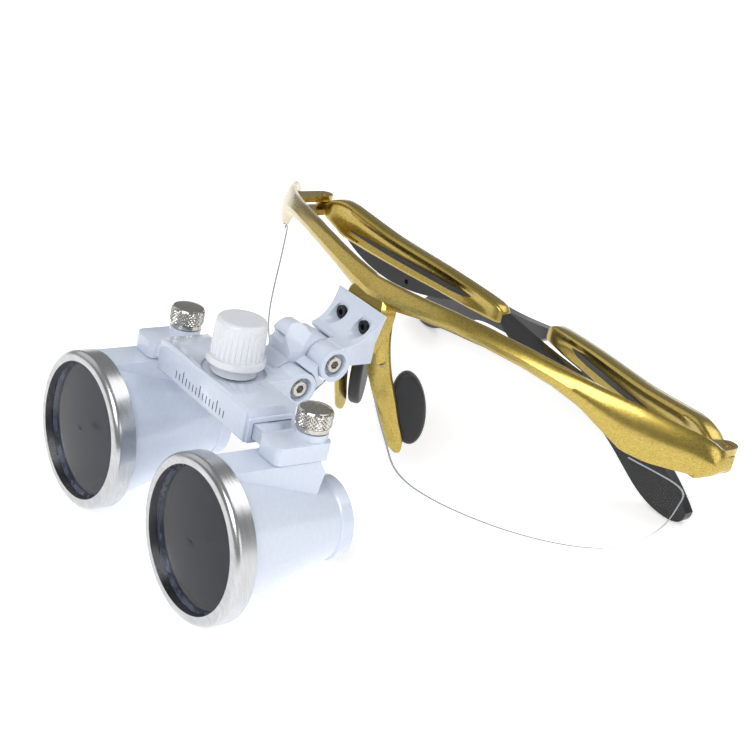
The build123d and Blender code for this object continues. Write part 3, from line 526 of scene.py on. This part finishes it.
def skin(rings: Sequence[Sequence[Point]]) -> tuple[list[Point], list[tuple[int, ...]]]:
    """Joins rings of equal length into a closed skin.

    Args:
        rings: Cross-sections in order, each a loop of points.

    Returns:
        The points and the faces, with both ends capped.
    """
    count = len(rings[0])
    points = [point for ring in rings for point in ring]
    faces = []
    for row in range(len(rings) - 1):
        for k in range(count):
            following = (k + 1) % count
            faces.append(
                (
                    row * count + k,
                    row * count + following,
                    (row + 1) * count + following,
                    (row + 1) * count + k,
                )
            )
    last = (len(rings) - 1) * count
    faces.append(tuple(reversed(range(count))))
    faces.append(tuple(range(last, last + count)))
    return points, faces


def merged(
    parts: Sequence[tuple[list[Point], list[tuple[int, ...]]]],
) -> tuple[list[Point], list[tuple[int, ...]]]:
    """Puts several skins into one mesh."""
    points: list[Point] = []
    faces: list[tuple[int, ...]] = []
    for some_points, some_faces in parts:
        start = len(points)
        points += some_points
        faces += [tuple(start + number for number in face) for face in some_faces]
    return points, faces


@dataclass
class Telescope:
    """One telescope: lacquered barrel, satin ring, coated lenses and a blackened bore."""

    side: Side
    axis_x: float = 21.9
    axis_z: float = -17.3
    aperture_y: float = -54.6
    bore_front: tuple[float, float] = (13.36, 4.4)
    bore_back: tuple[float, float] = (5.86, 26.7)

    def build(self, shop: Workshop) -> None:
        """Dresses the nodes and adds the blackened bore.

        Args:
            shop: Makes and dresses the pieces.
        """
        word = self.side.word
        shop.dress(f"{word}_barrel", WHITE_LACQUER)
        shop.dress(f"{word}_objective_ring", SATIN_ALUMINIUM)
        shop.dress(f"{word}_objective_lens", COATED_GLASS)
        shop.dress(f"{word}_light_baffle", BLACK_ANODISED)
        shop.dress(f"{word}_eyepiece_lens", COATED_GLASS)
        shop.dress(f"{word}_eyepiece_ring", BLACK_ANODISED)
        self._bore(shop)

    def _around(self, radius: float, angle: float, depth: float) -> Point:
        """Place of a point at a radius and angle about the optic axis."""
        return (
            self.side.value * self.axis_x + radius * math.cos(angle),
            self.aperture_y + depth,
            self.axis_z + radius * math.sin(angle),
        )

    def _bore(self, shop: Workshop) -> None:
        """Adds the coat of matt black paint inside the barrel.

        Args:
            shop: Makes the piece.
        """
        front_r, front_t = self.bore_front
        back_r, back_t = self.bore_back
        profile = [(14.3, 3.98), (front_r, front_t), (back_r, back_t), (back_r - 0.03, back_t + 0.2)]
        points, faces = lathe(profile, 96, self._around)
        word = self.side.word
        shop.piece(f"{word}_bore_paint", f"{word}_telescope", points, faces, BORE_BLACK)


@dataclass
class ThumbScrew:
    """Clamp screw with a diamond-knurled head."""

    side: Side
    axis_x: float = 23.1
    axis_y: float = -32.5
    base_z: float = 3.4
    band: float = 1.0
    height: float = 4.5
    radius: float = 3.5
    knurls: int = 30
    depth: float = 0.22
    shank_radius: float = 1.25
    shank_end_z: float = -6.35

    def build(self, shop: Workshop) -> None:
        """Builds the screw.

        Args:
            shop: Makes the piece.
        """
        word = self.side.word
        segments = self.knurls * 6
        rows = 26
        low = self.base_z + self.band + 0.25
        high = self.base_z + self.height - 0.75
        profile = [
            (0.001, self.shank_end_z),
            (self.shank_radius - 0.2, self.shank_end_z),
            (self.shank_radius, self.shank_end_z + 0.25),
            (self.shank_radius, self.base_z),
            (3.0, self.base_z),
            (3.15, self.base_z + 0.12),
            (3.2, self.base_z + 0.3),
            (3.2, self.base_z + self.band - 0.1),
            (3.05, self.base_z + self.band),
            (3.05, self.base_z + self.band + 0.1),
            (3.3, low - 0.02),
        ]
        start = len(profile)
        profile += [(self.radius, low + (high - low) * k / rows) for k in range(rows + 1)]
        end = len(profile)
        top = self.base_z + self.height
        profile += [
            (3.3, high + 0.1),
            (3.1, high + 0.38),
            (2.8, high + 0.52),
            (2.0, top - 0.12),
            (1.0, top - 0.03),
            (0.001, top),
        ]
        points, faces = lathe(profile, segments, self._around)
        pitch = 2 * math.pi * self.radius / self.knurls
        shaped = list(points)
        for row in range(start, end):
            rise = profile[row][1] - low
            for k in range(segments):
                turn = self.knurls * k / segments
                one = abs(((turn + rise / pitch) % 1.0) * 2 - 1)
                two = abs(((turn - rise / pitch) % 1.0) * 2 - 1)
                radius = self.radius - self.depth * (1 - min(one, two))
                shaped[row * segments + k] = self._around(
                    radius, 2 * math.pi * k / segments, profile[row][1]
                )
        shop.piece(
            f"{word}_knurled_clamp_screw", f"{word}_clamp", shaped, faces, POLISHED_NICKEL,
            instead_of=(f"{word}_clamp_screw",), crease_degrees=28,
        )

    def _around(self, radius: float, angle: float, height: float) -> Point:
        """Place of a point at a radius and angle about the screw's axis."""
        return (
            self.side.value * self.axis_x + radius * math.cos(angle),
            self.axis_y + radius * math.sin(angle),
            height,
        )


@dataclass
class Crossbar:
    """White crossbar with its cover, slide arms, knob and graduation marks."""

    front_y: float = -42.4
    mark_low_z: float = -0.6
    mark_height: float = 1.5
    mark_gap: float = 1.25
    marks: int = 15
    mark_width: float = 0.22
    ink: float = 0.02

    def build(self, shop: Workshop) -> None:
        """Dresses the nodes and prints the marks.

        Args:
            shop: Makes and dresses the pieces.
        """
        shop.dress("crossbar_housing", WHITE_LACQUER, bevel_mm=0.25)
        shop.dress("crossbar_cover", WHITE_LACQUER)
        shop.dress("cover_screws", BLACK_STEEL)
        shop.dress("pd_knob", WHITE_ABS)
        shop.dress("pinion_shaft", BLACK_STEEL)
        for side in Side:
            shop.dress(f"{side.word}_slide_arm", WHITE_LACQUER, bevel_mm=0.25)
        self._marks(shop)

    def _marks(self, shop: Workshop) -> None:
        """Prints the graduation on the front face.

        Args:
            shop: Makes the piece.
        """
        points: list[Point] = []
        faces: list[tuple[int, ...]] = []
        for number in range(self.marks):
            middle = (number - (self.marks - 1) / 2) * self.mark_gap
            tall = self.mark_height * (1.6 if number % 5 == 2 else 1.0)
            low = self.mark_low_z
            start = len(points)
            for y in (self.front_y - self.ink, self.front_y + self.ink):
                points += [
                    (middle - self.mark_width / 2, y, low),
                    (middle + self.mark_width / 2, y, low),
                    (middle + self.mark_width / 2, y, low + tall),
                    (middle - self.mark_width / 2, y, low + tall),
                ]
            faces += [
                (start, start + 1, start + 2, start + 3),
                (start + 4, start + 7, start + 6, start + 5),
                (start, start + 4, start + 5, start + 1),
                (start + 1, start + 5, start + 6, start + 2),
                (start + 2, start + 6, start + 7, start + 3),
                (start + 3, start + 7, start + 4, start),
            ]
        shop.piece("crossbar_graduation_marks", "crossbar", points, faces, BLACK_INK)


@dataclass
class FlipMount:
    """Bracket and flip-up link with their screws."""

    def build(self, shop: Workshop) -> None:
        """Dresses the nodes.

        Args:
            shop: Dresses the pieces.
        """
        shop.dress("mount_bracket", WHITE_LACQUER, bevel_mm=0.3)
        shop.dress("flip_link", WHITE_LACQUER, bevel_mm=0.3)
        shop.dress("bracket_screws", BLACK_STEEL)
        shop.dress("lower_pivot_screw", POLISHED_NICKEL)
        shop.dress("upper_pivot_screw", POLISHED_NICKEL)


@dataclass
class SpectacleFront:
    """Gold brow bar with its nose arms and hinge lugs, clear lenses and nose pads."""

    wrap_radius: float = 100.0
    wrap_centre_y: float = 93.2
    bar_depth: float = 3.8
    half_width: float = 71.2
    station: float = 1.2
    hinge_x: float = 66.5
    lens_radii: tuple[float, ...] = (98.3,)
    edge_radius: float = 0.17
    top_knots: tuple[tuple[float, float], ...] = (
        (0.0, 22.3), (10.0, 22.9), (20.0, 23.5), (28.0, 23.6), (38.0, 22.9), (48.0, 21.5),
        (59.0, 19.6), (67.0, 17.7), (69.6, 16.4), (70.8, 14.6), (71.3, 13.0),
    )
    low_knots: tuple[tuple[float, float], ...] = (
        (0.0, 16.6), (7.0, 17.9), (14.0, 19.2), (22.0, 19.9), (30.0, 20.0), (38.0, 19.3),
        (44.0, 18.0), (49.0, 16.1), (53.0, 13.4), (57.0, 10.6), (61.0, 9.8), (69.0, 9.9),
        (70.4, 10.8), (71.3, 12.2),
    )
    arm_knots: tuple[tuple[float, float, float, float, float], ...] = (
        (2.8, -6.8, 5.2, -3.2, 17.0), (3.0, -6.9, 6.3, -3.3, 10.4), (3.9, -6.3, 7.3, -2.4, 4.8),
        (5.3, -5.6, 8.0, -1.4, 1.3), (6.8, -4.7, 8.75, -0.4, -2.2), (7.7, -3.3, 9.45, 0.7, -6.0),
        (8.7, -1.8, 10.1, 1.9, -9.4), (9.3, -0.8, 10.4, 2.2, -11.4), (9.9, 0.3, 10.4, 1.8, -12.6),
    )
    arm_thickness: float = 1.3
    edge_knots: tuple[tuple[float, float], ...] = (
        (8.2, 5.8), (3.9, 4.5), (7.0, -1.6), (12.1, -8.2), (17.0, -13.2), (26.7, -14.6),
        (45.0, -13.3), (58.2, -10.0), (64.4, -4.2), (66.6, 2.4), (66.0, 6.6), (58.0, 9.4),
    )

    def build(self, shop: Workshop) -> None:
        """Builds the bar and dresses the nodes.

        Args:
            shop: Makes and dresses the pieces.
        """
        skins = [self._bar(), self._bridge()]
        for side in Side:
            skins += [self._arm(side), self._lug(side)]
            self._edge(side, shop)
            shop.dress(f"{side.word}_lens", CLEAR_POLYCARBONATE)
            shop.dress(f"{side.word}_nose_pad", BLACK_SILICONE)
            shop.dress(f"{side.word}_hinge_screw", GOLD_LACQUER)
        points, faces = merged(skins)
        shop.piece(
            "gold_brow_bar", "frame", points, faces, GOLD_LACQUER,
            instead_of=("brow_frame",), crease_degrees=33,
        )

    def _front(self, x: float, radius: float) -> float:
        """Y of a vertical cylinder of the wrap at a place across the face."""
        return self.wrap_centre_y - math.sqrt(radius**2 - x**2)

    def _bar(self) -> tuple[list[Point], list[tuple[int, ...]]]:
        """Bar with a crisp ridge along its front, rounded behind."""
        rings = []
        steps = int(self.half_width / self.station)
        for number in range(-steps, steps + 1):
            x = self.half_width * number / steps
            front = self._front(x, self.wrap_radius)
            top = between(self.top_knots, abs(x))
            low = between(self.low_knots, abs(x))
            tall = top - low
            back = front + self.bar_depth
            section = [
                (front + 1.1, low), (front + 0.45, low + 0.16 * tall), (front + 0.1, low + 0.36 * tall),
                (front, low + 0.56 * tall), (front + 0.5, low + 0.72 * tall),
                (front + 1.15, low + 0.88 * tall), (front + 1.75, top - 0.03 * tall),
                (front + 2.3, top), (back - 0.6, top - 0.05 * tall), (back - 0.1, top - 0.2 * tall),
                (back, low + 0.5 * tall), (back - 0.15, low + 0.2 * tall), (back - 0.9, low),
            ]
            rings.append([(x, y, z) for y, z in section])
        return skin(rings)

    def _bridge(self) -> tuple[list[Point], list[tuple[int, ...]]]:
        """Plate behind the bracket that carries its screws."""
        rings = []
        for half, front, back, z in (
            (4.8, -7.3, -4.0, 6.6), (5.4, -7.35, -3.2, 8.0), (6.0, -7.35, -3.2, 12.0),
            (6.4, -7.2, -3.2, 16.0), (6.0, -6.9, -3.2, 18.0), (5.0, -6.2, -3.4, 19.5),
        ):
            rings.append(
                [
                    (-half + 0.6, front, z), (half - 0.6, front, z), (half, front + 0.6, z),
                    (half, back - 0.6, z), (half - 0.6, back, z), (-half + 0.6, back, z),
                    (-half, back - 0.6, z), (-half, front + 0.6, z),
                ]
            )
        return skin(rings)

    def _arm(self, side: Side) -> tuple[list[Point], list[tuple[int, ...]]]:
        """Curved strip from the bridge down to the nose pad."""
        sign = side.value
        rings = []
        for front_x, front_y, rear_x, rear_y, z in along_curve(self.arm_knots, 6):
            width = math.hypot(rear_x - front_x, rear_y - front_y)
            along_x, along_y = (rear_x - front_x) / width, (rear_y - front_y) / width
            ring = []
            for share, out in (
                (0.0, 0.0), (0.08, 0.38), (0.3, 0.6), (0.7, 0.6), (0.92, 0.38), (1.0, 0.0),
                (0.9, -0.4), (0.5, -0.5), (0.1, -0.4),
            ):
                step = share * width
                rise = out * self.arm_thickness
                ring.append(
                    (
                        sign * (front_x + along_x * step + along_y * rise),
                        front_y + along_y * step - along_x * rise,
                        z,
                    )
                )
            rings.append(ring)
        return skin(rings)

    def _lug(self, side: Side) -> tuple[list[Point], list[tuple[int, ...]]]:
        """Upper and lower hinge lug behind the end of the bar."""
        lugs = []
        for low, high in ((9.5, 10.95), (12.95, 14.4)):
            rings = []
            for y, half in ((20.8, 1.6), (22.0, 1.9), (29.6, 1.9), (31.0, 1.7), (31.8, 1.2), (32.2, 0.5)):
                rings.append(
                    [
                        (side.value * self.hinge_x - half, y, low),
                        (side.value * self.hinge_x + half, y, low),
                        (side.value * self.hinge_x + half, y, high),
                        (side.value * self.hinge_x - half, y, high),
                    ]
                )
            lugs.append(skin(rings))
        return merged(lugs)

    def _edge(self, side: Side, shop: Workshop) -> None:
        """Ground rim of one lens.

        Args:
            side: The wearer's side.
            shop: Makes the piece.
        """
        skins = []
        for radius in self.lens_radii:
            rings = []
            for x, z in along_curve(self.edge_knots, 8):
                y = self._front(x, radius)
                rings.append(
                    [
                        (side.value * (x + self.edge_radius * math.cos(a)), y + self.edge_radius * math.sin(a),
                         z + self.edge_radius * math.cos(a))
                        for a in (k * math.pi / 3 for k in range(6))
                    ]
                )
            skins.append(skin(rings))
        points, faces = merged(skins)
        shop.piece(f"{side.word}_lens_ground_edge", "frame", points, faces, GROUND_EDGE)


@dataclass
class Temple:
    """One temple: gold spindle shell with a hollowed inner face, over a black core."""

    side: Side
    hinge_x: float = 66.5
    hinge_y: float = 30.3
    fold_degrees: tuple[float, float] = (12.0, 6.5)
    half: float = 2.1
    valley: float = 1.7
    knots: tuple[tuple[float, float, float, float], ...] = (
        (-1.9, 11.2, 12.7, 0.7), (-1.2, 11.1, 12.8, 1.4), (0.0, 11.1, 12.8, 1.8), (2.4, 11.0, 12.9, 1.8),
        (3.3, 9.5, 13.8, 1.9), (5.0, 9.0, 14.7, 2.1), (7.5, 8.1, 15.4, 2.1), (10.0, 7.1, 15.5, 2.1),
        (13.0, 6.95, 15.2, 2.1), (20.0, 6.7, 14.3, 2.1), (27.0, 6.6, 13.5, 2.1), (36.0, 6.6, 13.0, 2.1),
        (44.0, 6.7, 12.6, 2.1), (53.0, 6.7, 11.9, 2.1), (59.0, 6.8, 11.3, 2.0), (61.5, 6.9, 10.7, 1.8),
        (62.8, 7.2, 9.6, 1.4),
    )

    def build(self, shop: Workshop) -> None:
        """Builds the shell and dresses the core.

        Args:
            shop: Makes and dresses the pieces.
        """
        word = self.side.word
        rings = [self._ring(*row) for row in along_curve(self.knots, 4)]
        points, faces = skin(rings)
        shop.piece(
            f"{word}_hollowed_temple_shell", f"{word}_temple", points, faces, GOLD_LACQUER,
            instead_of=(f"{word}_temple_shell",), crease_degrees=50,
        )
        shop.dress(f"{word}_temple_core", BLACK_NYLON)

    def _ring(self, run: float, low: float, high: float, half: float) -> list[Point]:
        """Cross-section of the shell at a distance from its hinge.

        Args:
            run: Distance from the hinge, in millimetres.
            low: Lowest Z.
            high: Highest Z.
            half: Half thickness.

        Returns:
            The loop of points, its hollowed face first.
        """
        tall = high - low
        share = min(1.0, max(0.0, (run - 5.0) / 8.0)) * min(1.0, max(0.0, (60.0 - run) / 14.0))
        dip = self.valley * share
        section = [
            (0.55 * half, low), (0.92 * half, low + 0.05 * tall), (half, low + 0.12 * tall),
            (half - 0.25 * dip, low + 0.2 * tall), (half - 0.75 * dip, low + 0.34 * tall),
            (half - dip, low + 0.52 * tall), (half - 0.8 * dip, low + 0.68 * tall),
            (half - 0.3 * dip, low + 0.8 * tall), (half, low + 0.88 * tall),
            (0.9 * half, low + 0.95 * tall), (0.55 * half, high), (-0.5 * half, high),
            (-0.9 * half, low + 0.93 * tall), (-half, low + 0.8 * tall), (-half, low + 0.2 * tall),
            (-0.9 * half, low + 0.07 * tall), (-0.5 * half, low),
        ]
        sign = self.side.value
        fold = math.radians(self.fold_degrees[0] if self.side is Side.LEFT else self.fold_degrees[1])
        root_x = sign * self.hinge_x
        return [
            (
                root_x - sign * (run * math.cos(fold) + out * math.sin(fold)),
                self.hinge_y + run * math.sin(fold) - out * math.cos(fold),
                z,
            )
            for out, z in section
        ]


@dataclass
class Studio:
    """Pale floor, soft lights and the camera."""

    camera_place: Point = (0.23129, -0.16777, 0.18362)
    camera_turn: Point = (60.832, -1.351, 54.289)
    focal_mm: float = 76.8
    sensor_mm: float = 36.0
    floor_half: float = 3.0

    def build(self, shop: Workshop) -> None:
        """Sets the stage.

        Args:
            shop: Gives the floor its finish.
        """
        self._floor(shop)
        self._light("key_softbox", (0.35, -0.55, 0.75), 0.6, 6.0)
        self._light("fill_softbox", (-0.75, -0.2, 0.55), 0.8, 1.2)
        self._light("rear_softbox", (0.15, 0.75, 0.7), 0.7, 3.0)
        self._light("side_strip", (0.8, 0.15, 0.25), 0.4, 0.8)
        self._sky()
        self._camera()
        bpy.context.scene.view_settings.view_transform = "Standard"

    def _floor(self, shop: Workshop) -> None:
        """Lays the floor.

        Args:
            shop: Gives the floor its finish.
        """
        half = self.floor_half
        mesh = bpy.data.meshes.new("studio_floor")
        corners = [(-half, -half, 0.0), (half, -half, 0.0), (half, half, 0.0), (-half, half, 0.0)]
        mesh.from_pydata(corners, [], [(0, 1, 2, 3)])
        mesh.materials.append(shop.paints.of(STUDIO_FLOOR))
        floor = bpy.data.objects.new("studio_floor", mesh)
        bpy.context.scene.collection.objects.link(floor)

    def _light(self, name: str, place: Point, size: float, watts: float) -> None:
        """Adds one soft area light that faces the loupes.

        Args:
            name: Name of the light.
            place: Where it stands, in metres.
            size: Side of its square, in metres.
            watts: Its power.
        """
        data = bpy.data.lights.new(name, "AREA")
        data.size = size
        data.energy = watts
        lamp = bpy.data.objects.new(name, data)
        lamp.location = place
        aim = Vector((0.0, 0.0, 0.02)) - Vector(place)
        lamp.rotation_euler = aim.to_track_quat("-Z", "Y").to_euler()
        bpy.context.scene.collection.objects.link(lamp)

    def _sky(self) -> None:
        """Fills the world with even pale light."""
        world = bpy.data.worlds.new("studio_air")
        world.use_nodes = True
        tree = world.node_tree
        tree.nodes.clear()
        glow = add_node(
            tree, "ShaderNodeBackground", {}, {"Color": (1.0, 1.0, 1.0, 1.0), "Strength": 0.3}
        )
        add_node(tree, "ShaderNodeOutputWorld", {}, {"Surface": glow.outputs["Background"]})
        bpy.context.scene.world = world

    def _camera(self) -> None:
        """Places the camera."""
        data = bpy.data.cameras.new("studio_camera")
        data.lens = self.focal_mm
        data.sensor_width = self.sensor_mm
        data.clip_start = 0.01
        camera = bpy.data.objects.new("studio_camera", data)
        camera.location = self.camera_place
        camera.rotation_euler = Euler([math.radians(a) for a in self.camera_turn], "XYZ")
        bpy.context.scene.collection.objects.link(camera)
        bpy.context.scene.camera = camera


def main() -> None:
    """Builds the loupes, then the studio."""
    logging.basicConfig(level=logging.INFO)
    shop = Workshop(WornFrame(frame["joints"]), Paints())
    SpectacleFront().build(shop)
    FlipMount().build(shop)
    Crossbar().build(shop)
    for side in Side:
        Temple(side).build(shop)
        Telescope(side).build(shop)
        ThumbScrew(side).build(shop)
    Studio().build(shop)


if __name__ == "__main__":
    main()
